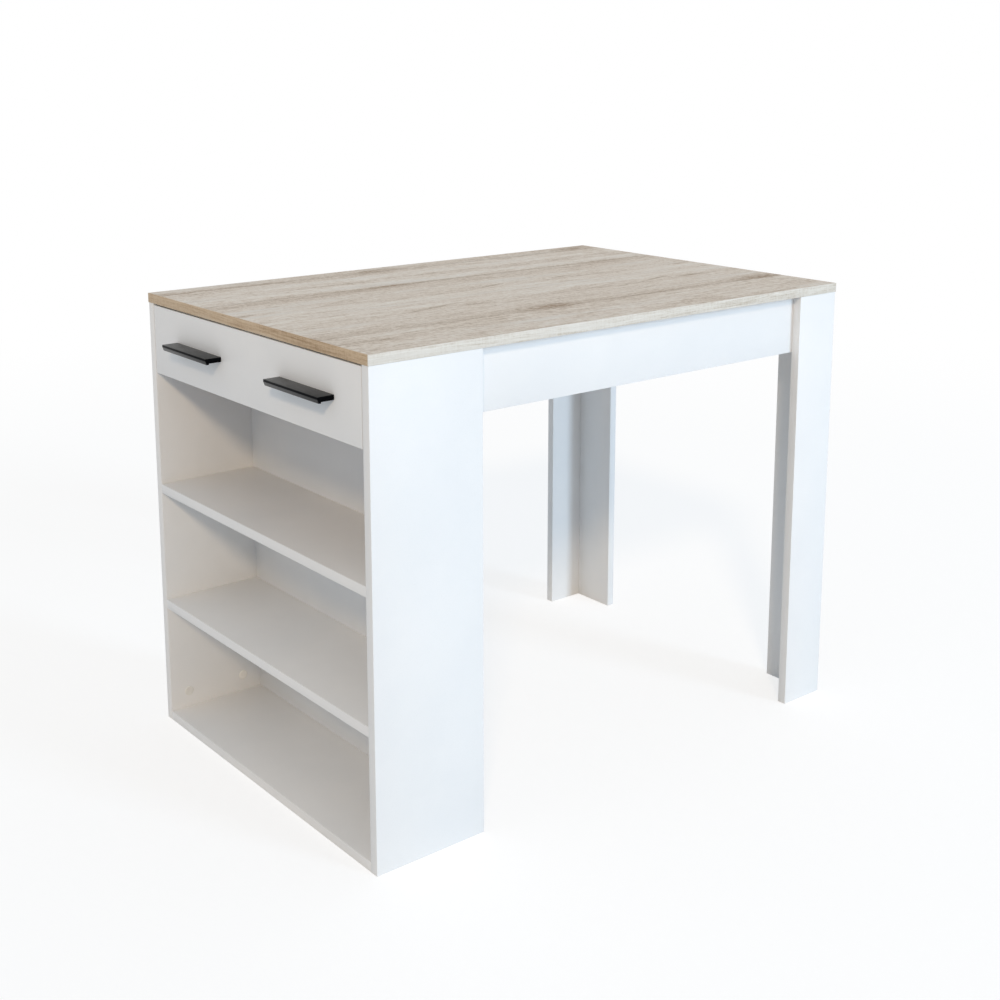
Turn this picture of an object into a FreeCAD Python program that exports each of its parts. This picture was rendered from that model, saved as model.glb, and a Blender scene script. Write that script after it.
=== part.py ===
import FreeCAD, Part
import math
import os

# Table with an open end cabinet, a drawer above its shelves and two L-shaped legs.
# Millimetres, +Z up. X runs along the table, and the cabinet opens towards -X.
# Left is +Y and right is -Y, as seen by someone who stands before the open cabinet.
# The origin is on the floor, under the middle of the table with its handles.

V = FreeCAD.Vector
X = V(1, 0, 0)
Y = V(0, 1, 0)
Z = V(0, 0, 1)
LEFT = 1
RIGHT = -1
SIDES = {"left": LEFT, "right": RIGHT}

# Table top
top_length = 1000.0
top_width = 670.0
top_thickness = 16.0
top_overhang = 1.0
top_band = 1.0
table_height = 775.0

# White boards of the base
board = 16.0
cabinet_depth = 198.0
shelf_depth = 180.0
bay_height = 196.0
drawer_opening = 120.0
apron_height = 100.0
leg_board_width = 94.0

# Drawer
drawer_top_gap = 3.0
drawer_side_gap = 2.0
drawer_board = 12.0
drawer_side_length = 150.0
drawer_side_height = 80.0
drawer_side_lift = 16.0
drawer_bottom_thickness = 3.0
drawer_groove_depth = 5.0
drawer_groove_lift = 8.0
drawer_groove_play = 0.2
drawer_travel = 105.0

# Handles: a solid bar with a lip that hangs at its front
handle_length = 150.0
handle_reach = 28.0
handle_web = 8.0
handle_lip_height = 10.0
handle_lip_depth = 6.5
handle_lip_bevel = 1.8
handle_lip_bevel_height = 4.5
handle_top_bevel = 0.6
handle_rise = 1.5
handle_left_share = 0.5
handle_right_share = 0.5443
handle_hole_spacing = 128.0
handle_screw_radius = 2.0
handle_screw_head_radius = 4.0
handle_screw_head_height = 2.4
handle_screw_depth = 8.0

# Ball-bearing runners
rail_height = 27.0
rail_width = 10.0
rail_length = 150.0
rail_wall = 1.0
rail_setback = 2.0
rail_stop_reach = 7.0
rail_stop_height = 12.0
rail_stop_gap = 0.3
ball_radius = 1.6
ball_play = 0.3
balls_per_row = 4
ball_bands = 3
cage_sheet = 0.5
cage_flange_reach = 1.0
cage_margin = 2.0
cage_end = 6.0
rail_screw_inset = 22.0
rail_screw_radius = 1.7
rail_screw_head_radius = 3.0
rail_screw_head_height = 1.6
rail_screw_length = 11.0

# Cam fittings, dowels and screws: round in use, drawn with a few flat sides because they are small
round_sides = 8
screw_sides = 6
cap_sides = 24
hole_play = 0.1
hole_end_play = 0.5
cam_radius = 7.5
cam_height = 12.5
cam_slot_width = 1.6
cam_slot_depth = 1.2
cam_slot_length = 11.0
cam_bolt_reach = 34.0
cam_bolt_thread_radius = 3.0
cam_bolt_thread_length = 11.0
cam_bolt_neck_radius = 2.0
cam_bolt_head_radius = 3.2
cam_bolt_head_length = 3.0
dowel_radius = 4.0
dowel_length = 30.0
dowel_share_in_face = 0.35
shelf_fitting_inset = 35.0
drawer_cam_radius = 6.0
drawer_cam_height = 9.5
drawer_cam_bolt_reach = 24.0
drawer_dowel_radius = 3.0
drawer_dowel_length = 24.0
joint_screw_radius = 2.0
joint_screw_head_radius = 4.0
joint_screw_head_height = 2.2
joint_screw_length = 28.0
back_screw_inset = 13.0
cap_radius = 8.5
cap_head_height = 1.2
cap_stem_radius = 4.0
cap_stem_length = 7.0
cap_height_above_shelf = 29.0

# Steel angles that hold the top down
bracket_leg = 25.0
bracket_width = 30.0
bracket_sheet = 2.0
bracket_hole_offset = 15.0
bracket_screw_radius = 1.9
bracket_screw_head_radius = 3.6
bracket_screw_head_height = 2.0
bracket_screw_length = 14.0

# Places of repeated fittings, as shares of the piece that carries them
back_cam_shares = (0.13, 0.74)
back_dowel_share = 0.43
leg_dowel_shares = (0.2, 0.7)
long_apron_cam_share = 0.5
long_apron_dowel_share = 0.2
end_apron_cam_share = 0.75
end_apron_dowel_share = 0.35
joint_screw_shares = (0.25, 0.75)
joint_screw_width_share = 0.2
top_dowel_shares = (0.25, 0.75)
bracket_shares = (0.22, 0.78)
drawer_cam_share = 0.8
drawer_dowel_share = 0.28

# Planes worked out from the sizes above
handle_overhang = handle_reach - top_overhang
total_length = top_length + handle_overhang
top_x0 = handle_overhang - total_length / 2
top_x1 = top_x0 + top_length
front_x = top_x0 + top_overhang
end_x = top_x1 - top_overhang
end_inner_x = end_x - board
side_y = top_width / 2 - top_overhang
inner_y = side_y - board
apron_inner_y = inner_y - board
base_top = table_height - top_thickness
apron_z = base_top - apron_height
back_x0 = front_x + shelf_depth
back_x1 = back_x0 + board
lower_shelf_z = board + bay_height
upper_shelf_z = lower_shelf_z + board + bay_height
leg_board_x = end_x - leg_board_width
leg_board_y = inner_y - leg_board_width

drawer_front_z0 = base_top - drawer_opening
drawer_front_z1 = base_top - drawer_top_gap
drawer_front_y = inner_y - drawer_side_gap
drawer_box_x0 = front_x + board
drawer_box_x1 = drawer_box_x0 + drawer_side_length
drawer_box_y = inner_y - rail_width
drawer_box_inner_y = drawer_box_y - drawer_board
drawer_side_z0 = drawer_front_z0 + drawer_side_lift
drawer_side_z1 = drawer_side_z0 + drawer_side_height
drawer_bottom_z0 = drawer_side_z0 + drawer_groove_lift
drawer_bottom_z1 = drawer_bottom_z0 + drawer_bottom_thickness
handle_z = (drawer_front_z0 + drawer_front_z1) / 2 + handle_rise

rail_x0 = drawer_box_x0 + rail_setback
rail_x1 = rail_x0 + rail_length
rail_z = drawer_side_z0 + drawer_side_height / 2
rail_half = rail_height / 2
race_radius = ball_radius + ball_play
race_back = race_radius + rail_wall
ball_height = rail_half - race_back
ball_depth = rail_width / 2
drawer_rail_x1 = rail_x1 - rail_wall - rail_stop_gap
cage_x1 = drawer_rail_x1
cage_x0 = rail_x0 + drawer_travel / 2 + cage_margin

shapes = {}
bores = {}


def add(node, *solids):
    shapes.setdefault(node, []).extend(solids)


def bore(node, *cutters):
    bores.setdefault(node, []).extend(cutters)


def block(low, high):
    """Board or plate between two opposite corners."""
    size = high - low
    return Part.makeBox(size.x, size.y, size.z, low)


def ring(radius, distance, sides):
    """Corners of a regular polygon round the Z axis."""
    turns = [2 * math.pi * number / sides for number in range(sides)]
    return [V(radius * math.cos(turn), radius * math.sin(turn), distance) for turn in turns]


def closed_face(corners):
    return Part.Face(Part.makePolygon(corners + corners[:1]))


def tapered(near, far):
    """Solid between two rings of as many corners."""
    faces = [closed_face(near), closed_face(far)]
    for first in range(len(near)):
        second = (first + 1) % len(near)
        faces.append(closed_face([near[first], near[second], far[second], far[first]]))
    return Part.Solid(Part.Shell(faces))


def turned(steps, start, direction, sides=round_sides):
    """Turned solid through (distance, radius) steps along a direction from start."""
    lengths = []
    for (near, near_radius), (far, far_radius) in zip(steps, steps[1:]):
        if far > near:
            lengths.append(tapered(ring(near_radius, near, sides), ring(far_radius, far, sides)))
    solid = lengths[0]
    if len(lengths) > 1:
        solid = solid.multiFuse(lengths[1:]).removeSplitter()
    solid.Placement = FreeCAD.Placement(start, FreeCAD.Rotation(Z, direction))
    return solid


def peg(radius, length, start, direction, sides=round_sides):
    """Straight pin, or the cutter for its hole."""
    return turned(((0, radius), (length, radius)), start, direction, sides)


def quarter_arc(centre, radius, first, last):
    """Quarter circle about a centre, from one unit direction to another."""
    middle = (first + last).normalize()
    return Part.Arc(centre + first * radius, centre + middle * radius, centre + last * radius).toShape()


def chain(points):
    """Straight edges through the points."""
    return [Part.makeLine(start, end) for start, end in zip(points, points[1:])]


def extruded(edges, direction):
    """Solid swept from a closed row of edges."""
    return Part.Face(Part.Wire(Part.__sortEdges__(edges))).extrude(direction)


def dowel(node, seat, direction, end_board, face_board, radius=dowel_radius, length=dowel_length):
    """Dowel across the seat: the larger part in the end board, the rest in the face board."""
    in_end = length * (1 - dowel_share_in_face)
    start = seat - direction * in_end
    add(node, peg(radius, length, start, direction))
    room = peg(radius + hole_play, length + 2 * hole_end_play, start - direction * hole_end_play, direction)
    bore(end_board, room)
    bore(face_board, room)


def cam_fitting(prefix, seat, direction, cam_axis, end_board, face_board,
                radius=cam_radius, height=cam_height, reach=cam_bolt_reach, thickness=board):
    """Cam sunk in the end board's face, and its bolt, which is screwed into the face board."""
    mouth = seat - direction * reach + cam_axis * (thickness / 2)
    neck = reach - cam_bolt_head_length
    steps = ((-cam_bolt_thread_length, cam_bolt_thread_radius), (0, cam_bolt_thread_radius),
             (0, cam_bolt_neck_radius), (neck, cam_bolt_neck_radius),
             (neck, cam_bolt_head_radius), (reach, cam_bolt_head_radius))
    add(prefix + "_cam_bolts", turned(steps, seat, direction * -1))
    channel = peg(cam_bolt_head_radius + hole_play, reach + hole_end_play, seat, direction * -1)
    slot = Part.makeBox(cam_slot_length, cam_slot_width, cam_slot_depth,
                        V(-cam_slot_length / 2, -cam_slot_width / 2, -cam_slot_depth))
    slot.Placement = FreeCAD.Placement(mouth, FreeCAD.Rotation(Z, cam_axis))
    add(prefix + "_cams", peg(radius, height, mouth, cam_axis * -1).cut(channel).cut(slot))
    bore(end_board, peg(radius + hole_play, height + hole_end_play, mouth, cam_axis * -1), channel)
    bore(face_board, peg(cam_bolt_thread_radius + hole_play, cam_bolt_thread_length + hole_end_play,
                         seat, direction))


def pan_screw(node, seat, direction, boards, radius, length, head_radius, head_height):
    """Screw whose flat head stands on the seat."""
    steps = ((-head_height, head_radius), (0, head_radius), (0, radius), (length, radius))
    add(node, turned(steps, seat, direction, screw_sides))
    for name in boards:
        bore(name, peg(radius + hole_play, length + hole_end_play, seat, direction, screw_sides))


def sunk_screw(node, mouth, direction, boards, radius, length, head_radius, head_height):
    """Screw whose tapered head lies flush with the mouth of its hole."""
    steps = ((0, head_radius), (head_height, radius), (length, radius))
    add(node, turned(steps, mouth, direction, screw_sides))
    room = ((0, head_radius + hole_play), (head_height, radius + hole_play),
            (length + hole_end_play, radius + hole_play))
    for name in boards:
        bore(name, turned(room, mouth, direction, screw_sides))


def table_top():
    """Decor board with an edge band glued round it."""
    low = V(top_x0 + top_band, top_band - top_width / 2, base_top)
    high = V(top_x1 - top_band, top_width / 2 - top_band, table_height)
    add("table_top", block(low, high))
    for side in SIDES.values():
        edge = side * top_width / 2
        inside = edge - side * top_band
        add("top_long_bands", block(V(top_x0, min(edge, inside), base_top),
                                    V(top_x1, max(edge, inside), table_height)))
    for edge_x in (top_x0, top_x1 - top_band):
        add("top_short_bands", block(V(edge_x, low.y, base_top), V(edge_x + top_band, high.y, table_height)))


def cabinet_boards():
    """Two sides and a back that stand on the floor, and three shelves between them."""
    for name, side in SIDES.items():
        near, far = sorted((side * inner_y, side * side_y))
        add("cabinet_side_" + name, block(V(front_x, near, 0), V(front_x + cabinet_depth, far, base_top)))
    add("cabinet_back", block(V(back_x0, -inner_y, 0), V(back_x1, inner_y, base_top)))
    for name, z in (("bottom_shelf", 0), ("lower_shelf", lower_shelf_z), ("upper_shelf", upper_shelf_z)):
        add(name, block(V(front_x, -inner_y, z), V(back_x0, inner_y, z + board)))
        for side_name, side in SIDES.items():
            middle_z = z + board / 2
            front = V(front_x + shelf_fitting_inset, side * inner_y, middle_z)
            rear = V(back_x0 - shelf_fitting_inset, side * inner_y, middle_z)
            cam_fitting("shelf", front, Y * side, Z * -1, name, "cabinet_side_" + side_name)
            dowel("shelf_dowels", rear, Y * side, name, "cabinet_side_" + side_name)


def cabinet_back_fittings():
    """Cams in the rear face of the back, and a dowel between them, on each side."""
    middle_x = back_x0 + board / 2
    for name, side in SIDES.items():
        for share in back_cam_shares:
            seat = V(middle_x, side * inner_y, base_top * share)
            cam_fitting("back", seat, Y * side, X, "cabinet_back", "cabinet_side_" + name)
        seat = V(middle_x, side * inner_y, base_top * back_dowel_share)
        dowel("back_dowels", seat, Y * side, "cabinet_back", "cabinet_side_" + name)


def cover_caps():
    """White caps low on the inner faces of the cabinet's sides."""
    for name, side in SIDES.items():
        for x in (front_x + shelf_fitting_inset, back_x0 - shelf_fitting_inset):
            seat = V(x, side * inner_y, board + cap_height_above_shelf)
            steps = ((-cap_stem_length, cap_stem_radius), (0, cap_stem_radius),
                     (0, cap_radius), (cap_head_height, cap_radius))
            add("side_cover_caps", turned(steps, seat, Y * -side, cap_sides))
            bore("cabinet_side_" + name, peg(cap_stem_radius + hole_play, cap_stem_length + hole_end_play,
                                             seat, Y * side, cap_sides))


def legs():
    """Each leg is two boards in an L: one along the table's side, one along its end."""
    for name, side in SIDES.items():
        near, far = sorted((side * inner_y, side * side_y))
        side_board = "leg_%s_side_board" % name
        end_board = "leg_%s_end_board" % name
        add(side_board, block(V(leg_board_x, near, 0), V(end_x, far, base_top)))
        near, far = sorted((side * leg_board_y, side * inner_y))
        add(end_board, block(V(end_inner_x, near, 0), V(end_x, far, base_top)))
        for share in leg_dowel_shares:
            seat = V(end_x - board / 2, side * inner_y, base_top * share)
            dowel("leg_dowels", seat, Y * side, end_board, side_board)


def aprons():
    """Rails under the top, one board thickness in from the outer faces of legs and cabinet."""
    end_rail_x = end_inner_x - board
    for name, side in SIDES.items():
        rail = "apron_" + name
        near, far = sorted((side * apron_inner_y, side * inner_y))
        add(rail, block(V(back_x1, near, apron_z), V(end_inner_x, far, base_top)))
        middle_y = side * (apron_inner_y + board / 2)
        cam_z = apron_z + apron_height * long_apron_cam_share
        dowel_z = apron_z + apron_height * long_apron_dowel_share
        for seat_x, direction, face_board in ((back_x1, X * -1, "cabinet_back"),
                                              (end_inner_x, X, "leg_%s_end_board" % name)):
            cam_fitting("apron", V(seat_x, middle_y, cam_z), direction, Y * -side, rail, face_board)
            dowel("apron_dowels", V(seat_x, middle_y, dowel_z), direction, rail, face_board)
        screw_x = leg_board_x + leg_board_width * joint_screw_width_share
        end_screw_y = side * (leg_board_y + leg_board_width * joint_screw_width_share)
        for share in joint_screw_shares:
            z = apron_z + apron_height * share
            sunk_screw("apron_screws", V(screw_x, side * apron_inner_y, z), Y * side,
                       (rail, "leg_%s_side_board" % name), joint_screw_radius, joint_screw_length,
                       joint_screw_head_radius, joint_screw_head_height)
            sunk_screw("apron_screws", V(end_rail_x, end_screw_y, z), X,
                       ("apron_end", "leg_%s_end_board" % name), joint_screw_radius, joint_screw_length,
                       joint_screw_head_radius, joint_screw_head_height)
        middle_x = end_rail_x + board / 2
        cam_seat = V(middle_x, side * apron_inner_y, apron_z + apron_height * end_apron_cam_share)
        cam_fitting("apron", cam_seat, Y * side, X * -1, "apron_end", rail)
        dowel_seat = V(middle_x, side * apron_inner_y, apron_z + apron_height * end_apron_dowel_share)
        dowel("apron_dowels", dowel_seat, Y * side, "apron_end", rail)
    add("apron_end", block(V(end_rail_x, -apron_inner_y, apron_z), V(end_inner_x, apron_inner_y, base_top)))


def top_fixings():
    """Dowels from the cabinet's sides into the top, and steel angles along the aprons."""
    for name, side in SIDES.items():
        for share in top_dowel_shares:
            seat = V(front_x + cabinet_depth * share, side * (inner_y + board / 2), base_top)
            dowel("top_dowels", seat, Z, "cabinet_side_" + name, "table_top")
    apron_length = end_inner_x - back_x1
    for name, side in SIDES.items():
        for share in bracket_shares:
            bracket(V(back_x1 + apron_length * share, side * apron_inner_y, base_top), Y * -side, "apron_" + name)
    bracket(V(end_inner_x - board, 0, base_top), X * -1, "apron_end")
    bracket(V(back_x1, 0, base_top), X, "cabinet_back")


def bracket(corner, away, carrier):
    """Steel angle in the corner of a board and the top, with a screw into each."""
    across = away.cross(Z)
    start = corner - across * (bracket_width / 2)
    outline = [start, start + away * bracket_leg, start + away * bracket_leg - Z * bracket_sheet,
               start + away * bracket_sheet - Z * bracket_sheet,
               start + away * bracket_sheet - Z * bracket_leg, start - Z * bracket_leg]
    angle = closed_face(outline).extrude(across * bracket_width)
    up_seat = corner + away * bracket_hole_offset - Z * bracket_sheet
    side_seat = corner - Z * bracket_hole_offset + away * bracket_sheet
    for seat, direction, carried_by in ((up_seat, Z, "table_top"), (side_seat, away * -1, carrier)):
        pan_screw("bracket_screws", seat, direction, (carried_by,), bracket_screw_radius,
                  bracket_screw_length, bracket_screw_head_radius, bracket_screw_head_height)
        angle = angle.cut(peg(bracket_screw_radius + hole_play, bracket_sheet, seat, direction, screw_sides))
    add("top_brackets", angle)


def drawer_box():
    """Front, two sides, a back and a thin bottom that slides into grooves."""
    front_low = V(front_x, -drawer_front_y, drawer_front_z0)
    add("drawer_front", block(front_low, V(drawer_box_x0, drawer_front_y, drawer_front_z1)))
    groove_y = drawer_box_inner_y + drawer_groove_depth
    groove = block(V(drawer_box_x0 - drawer_groove_depth, -groove_y, drawer_bottom_z0),
                   V(drawer_box_x1, groove_y, drawer_bottom_z1 + drawer_groove_play))
    add("drawer_bottom", block(V(drawer_box_x0 - drawer_groove_depth + drawer_groove_play,
                                 drawer_groove_play - groove_y, drawer_bottom_z0),
                               V(drawer_box_x1, groove_y - drawer_groove_play, drawer_bottom_z1)))
    back_x = drawer_box_x1 - drawer_board
    back_z = drawer_bottom_z1 + drawer_groove_play
    add("drawer_back", block(V(back_x, -drawer_box_inner_y, back_z),
                             V(drawer_box_x1, drawer_box_inner_y, drawer_side_z1)))
    bore("drawer_front", groove)
    for name, side in SIDES.items():
        panel = "drawer_side_" + name
        near, far = sorted((side * drawer_box_inner_y, side * drawer_box_y))
        add(panel, block(V(drawer_box_x0, near, drawer_side_z0), V(drawer_box_x1, far, drawer_side_z1)))
        bore(panel, groove)
        middle_y = side * (drawer_box_inner_y + drawer_board / 2)
        cam_seat = V(drawer_box_x0, middle_y, drawer_side_z0 + drawer_side_height * drawer_cam_share)
        cam_fitting("drawer", cam_seat, X * -1, Y * -side, panel, "drawer_front", drawer_cam_radius,
                    drawer_cam_height, drawer_cam_bolt_reach, drawer_board)
        dowel_seat = V(drawer_box_x0, middle_y, drawer_side_z0 + drawer_side_height * drawer_dowel_share)
        dowel("drawer_dowels", dowel_seat, X * -1, panel, "drawer_front",
              drawer_dowel_radius, drawer_dowel_length)
        for z in (back_z + back_screw_inset / 2, drawer_side_z1 - back_screw_inset):
            mouth = V(back_x + drawer_board / 2, side * drawer_box_y, z)
            sunk_screw("drawer_back_screws", mouth, Y * -side, (panel, "drawer_back"), joint_screw_radius,
                       joint_screw_length, joint_screw_head_radius, joint_screw_head_height)


def handle(name, centre_y):
    """Bar handle: flat top, web against the drawer front and a bevelled lip at the far edge."""
    top = handle_z + handle_lip_height / 2
    low = top - handle_lip_height
    outer = front_x - handle_reach
    start_y = centre_y - handle_length / 2
    outline = [(front_x, top), (outer + handle_top_bevel, top), (outer, top - handle_top_bevel),
               (outer, low + handle_lip_bevel_height), (outer + handle_lip_bevel, low),
               (outer + handle_lip_depth, low), (outer + handle_lip_depth, top - handle_web),
               (front_x, top - handle_web)]
    bar = closed_face([V(x, start_y, z) for x, z in outline]).extrude(Y * handle_length)
    middle_z = top - handle_web / 2
    for offset in (-handle_hole_spacing / 2, handle_hole_spacing / 2):
        seat = V(drawer_box_x0, centre_y + offset, middle_z)
        pan_screw("handle_screws", seat, X * -1, ("drawer_front", name), handle_screw_radius,
                  board + handle_screw_depth, handle_screw_head_radius, handle_screw_head_height)
    add(name, bar)


def rail_point(side, depth, height):
    """Point of a runner's section: depth from the cabinet side's face, height from its middle."""
    return V(rail_x0, side * (inner_y - depth), rail_z + height)


def cabinet_rail(name, side):
    """Outer member: a channel whose lips hook round the balls, with a stop at its rear end."""
    panel_side = Y * side
    edges = []
    for up in (1, -1):
        centre = rail_point(side, ball_depth, up * ball_height)
        edges.append(quarter_arc(centre, race_back, Z * up, panel_side * -1))
        edges.append(quarter_arc(centre, race_radius, Z * up, panel_side * -1))
        edges += chain([centre - panel_side * race_back, centre - panel_side * race_radius])
        edges += chain([rail_point(side, 0, 0), rail_point(side, 0, up * rail_half),
                        rail_point(side, ball_depth, up * rail_half)])
        inside = up * (rail_half - rail_wall)
        edges += chain([rail_point(side, rail_wall, 0), rail_point(side, rail_wall, inside),
                        rail_point(side, ball_depth, inside)])
    channel = extruded(edges, X * rail_length)
    lows = rail_point(side, rail_wall, -rail_stop_height / 2)
    highs = rail_point(side, rail_wall + rail_stop_reach, rail_stop_height / 2)
    near, far = sorted((lows.y, highs.y))
    stop = block(V(rail_x1 - rail_wall, near, lows.z), V(rail_x1, far, highs.z))
    node = "cabinet_rail_" + name
    add(node, channel.fuse(stop).removeSplitter())
    for x in (rail_x0 + rail_screw_inset, rail_x1 - rail_screw_inset):
        mouth = V(x, side * (inner_y - rail_wall), rail_z)
        sunk_screw("cabinet_rail_screws", mouth, Y * side, (node, "cabinet_side_" + name), rail_screw_radius,
                   rail_screw_length, rail_screw_head_radius, rail_screw_head_height)


def drawer_rail(name, side):
    """Inner member: a channel on the drawer's side whose lips cup the balls from below."""
    panel_side = Y * side
    edges = []
    outer_height = ball_height - race_radius
    inner_height = ball_height - race_back
    for up in (1, -1):
        centre = rail_point(side, ball_depth, up * ball_height)
        edges.append(quarter_arc(centre, race_radius, Z * -up, panel_side))
        edges.append(quarter_arc(centre, race_back, Z * -up, panel_side))
        edges += chain([centre + panel_side * race_radius, centre + panel_side * race_back])
        edges += chain([rail_point(side, rail_width, 0), rail_point(side, rail_width, up * outer_height),
                        rail_point(side, ball_depth, up * outer_height)])
        web = rail_width - rail_wall
        edges += chain([rail_point(side, web, 0), rail_point(side, web, up * inner_height),
                        rail_point(side, ball_depth, up * inner_height)])
    node = "drawer_rail_" + name
    add(node, extruded(edges, X * (drawer_rail_x1 - rail_x0)))
    for x in (rail_x0 + rail_screw_inset, rail_x1 - rail_screw_inset):
        seat = V(x, side * (inner_y - rail_width + rail_wall), rail_z)
        pan_screw("drawer_rail_screws", seat, Y * -side, (node, "drawer_side_" + name), rail_screw_radius,
                  rail_screw_length, rail_screw_head_radius, rail_screw_head_height)


def ball(centre):
    """Steel ball in bands of flat sides, all inside its true radius."""
    turns = [math.pi * (number + 0.5) / (ball_bands + 1) for number in range(ball_bands + 1)]
    steps = [(-ball_radius * math.cos(turn), ball_radius * math.sin(turn)) for turn in turns]
    return turned(steps, centre, Z)


def ball_cage(name, side):
    """Bent strip with a notch for each ball, and the balls."""
    web_depth = rail_wall + ball_play
    flange_height = ball_height + ball_play
    flange_depth = ball_depth + cage_flange_reach
    length = cage_x1 - cage_x0
    shift = X * (cage_x0 - rail_x0)
    half = [(web_depth, flange_height + cage_sheet), (flange_depth, flange_height + cage_sheet),
            (flange_depth, flange_height), (web_depth + cage_sheet, flange_height)]
    section = half + [(depth, -height) for depth, height in reversed(half)]
    strip = closed_face([rail_point(side, depth, height) + shift for depth, height in section])
    strip = strip.extrude(X * length)
    pitch = (length - cage_end - cage_end) / (balls_per_row - 1)
    for up in (1, -1):
        for number in range(balls_per_row):
            centre = rail_point(side, ball_depth, up * ball_height) + shift + X * (cage_end + pitch * number)
            add("cage_balls_" + name, ball(centre))
            strip = strip.cut(peg(race_radius, race_back, centre, Z * up))
    add("ball_cage_" + name, strip)


def build():
    table_top()
    cabinet_boards()
    cabinet_back_fittings()
    cover_caps()
    legs()
    aprons()
    top_fixings()
    drawer_box()
    handle("handle_left", drawer_front_y * handle_left_share)
    handle("handle_right", -drawer_front_y * handle_right_share)
    for name, side in SIDES.items():
        cabinet_rail(name, side)
        drawer_rail(name, side)
        ball_cage(name, side)


def write():
    os.makedirs("parts", exist_ok=True)
    for node, solids in shapes.items():
        cutters = bores.get(node, [])
        if cutters:
            solids = [solid.cut(cutters) for solid in solids]
        shape = solids[0] if len(solids) == 1 else Part.makeCompound(solids)
        shape.exportStep("parts/%s.step" % node)


build()
write()
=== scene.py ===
import math

import bmesh
import bpy
from mathutils import Matrix, Vector


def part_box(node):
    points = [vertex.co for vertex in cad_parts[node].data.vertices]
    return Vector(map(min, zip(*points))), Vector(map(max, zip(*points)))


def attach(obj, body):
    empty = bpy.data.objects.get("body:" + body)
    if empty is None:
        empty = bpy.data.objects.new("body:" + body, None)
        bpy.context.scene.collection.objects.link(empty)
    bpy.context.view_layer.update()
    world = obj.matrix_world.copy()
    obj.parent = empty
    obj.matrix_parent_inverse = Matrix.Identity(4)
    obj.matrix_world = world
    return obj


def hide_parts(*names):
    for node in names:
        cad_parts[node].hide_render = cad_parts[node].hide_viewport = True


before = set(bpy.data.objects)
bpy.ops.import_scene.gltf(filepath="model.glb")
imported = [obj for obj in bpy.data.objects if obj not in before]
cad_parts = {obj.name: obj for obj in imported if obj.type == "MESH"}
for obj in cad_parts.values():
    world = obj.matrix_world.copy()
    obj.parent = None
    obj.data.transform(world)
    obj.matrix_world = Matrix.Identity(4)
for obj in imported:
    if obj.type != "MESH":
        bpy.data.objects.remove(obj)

# Table with an open end cabinet, a drawer above its shelves and two L-shaped legs.
# Metres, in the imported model's frame: X runs along the table, and the cabinet opens towards -X.

MM = 0.001
X = Vector((1, 0, 0))
Y = Vector((0, 1, 0))
Z = Vector((0, 0, 1))
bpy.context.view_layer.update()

# Points nearer than this count as level, or are welded
level_reach = 0.01 * MM
weld_reach = 0.001 * MM

# Edges under these angles shade smoothly, or are dissolved
smooth_angle = math.radians(32)
flat_angle = math.radians(1)

# Rounding of boards, bands and sheet
board_round = 0.35 * MM
band_round = 0.5 * MM
sheet_round = 0.2 * MM
decor_edge = 0.08 * MM
round_steps = 2
round_angle = math.radians(30)

# Sides of round parts
fine_sides = 48
small_sides = 32
thread_sides = 20
ball_sides = 20
ball_band_angle = 12

# Pockets and grooves in the boards
pocket_play = 0.15 * MM
groove_play = Vector((0.2 * MM, 0.2 * MM, 0.1 * MM))
cutter_overrun = MM
head_probe = 0.5 * MM

# Heads of the screws
sunk_head_height = 2.2 * MM
bracket_head_height = 2.0 * MM
rail_head_height = 1.6 * MM
handle_head_height = 2.4 * MM

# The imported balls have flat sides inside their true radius
ball_fullness = 1.06

# Handles, and the Z of a face's normal that tells upright faces from slanted ones; the upright faces get
# painted shade and the slanted ones a painted reflection of the floor
lip_depth = 6.5 * MM
web_thickness = 8.0 * MM
lip_bevel = 2.4 * MM
lip_bevel_height = 6.4 * MM
handle_round = 0.5 * MM
handle_round_steps = 3
handle_round_angle = math.radians(12)
upright_slope = 0.2
slanted_slope = 0.6

# Light and floor
ambient_colour = (0.85, 0.925, 1.0)
ambient_strength = 0.565
floor_size = 60
floor_shadow_share = 0.36
floor_glow = 0.705
floor_fade_near = 1.4
floor_fade_far = 4.0
table_middle = Vector((0, 0, 0.4))


class Tone:
    """A number that varies over a surface. Sums and products of tones become Math nodes."""

    def __init__(self, finish, socket):
        self.finish = finish
        self.socket = socket

    def maths(self, operation, *values):
        settings = {"operation": operation}
        return self.finish.node("Math", settings, dict(enumerate(values)))

    def __add__(self, other):
        return self.maths("ADD", self, other)

    def __radd__(self, other):
        return self.maths("ADD", other, self)

    def __sub__(self, other):
        return self.maths("SUBTRACT", self, other)

    def __rsub__(self, other):
        return self.maths("SUBTRACT", other, self)

    def __mul__(self, other):
        return self.maths("MULTIPLY", self, other)

    def __truediv__(self, other):
        return self.maths("DIVIDE", self, other)

    def __rpow__(self, other):
        return self.maths("POWER", other, self)

    def __gt__(self, other):
        return self.maths("GREATER_THAN", self, other)

    def root(self):
        return self.maths("SQRT", self)

    def sway(self, spacing):
        """From 0 up to 1 and back, once in each spacing."""
        return self.maths("PINGPONG", self, spacing / 2) / (spacing / 2)

    def step(self, low, high):
        """0 below low and 1 above high, with a smooth rise between them."""
        settings = {"interpolation_type": "SMOOTHSTEP"}
        return self.finish.node("MapRange", settings, {0: self, 1: low, 2: high, 3: 0.0, 4: 1.0})


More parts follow.
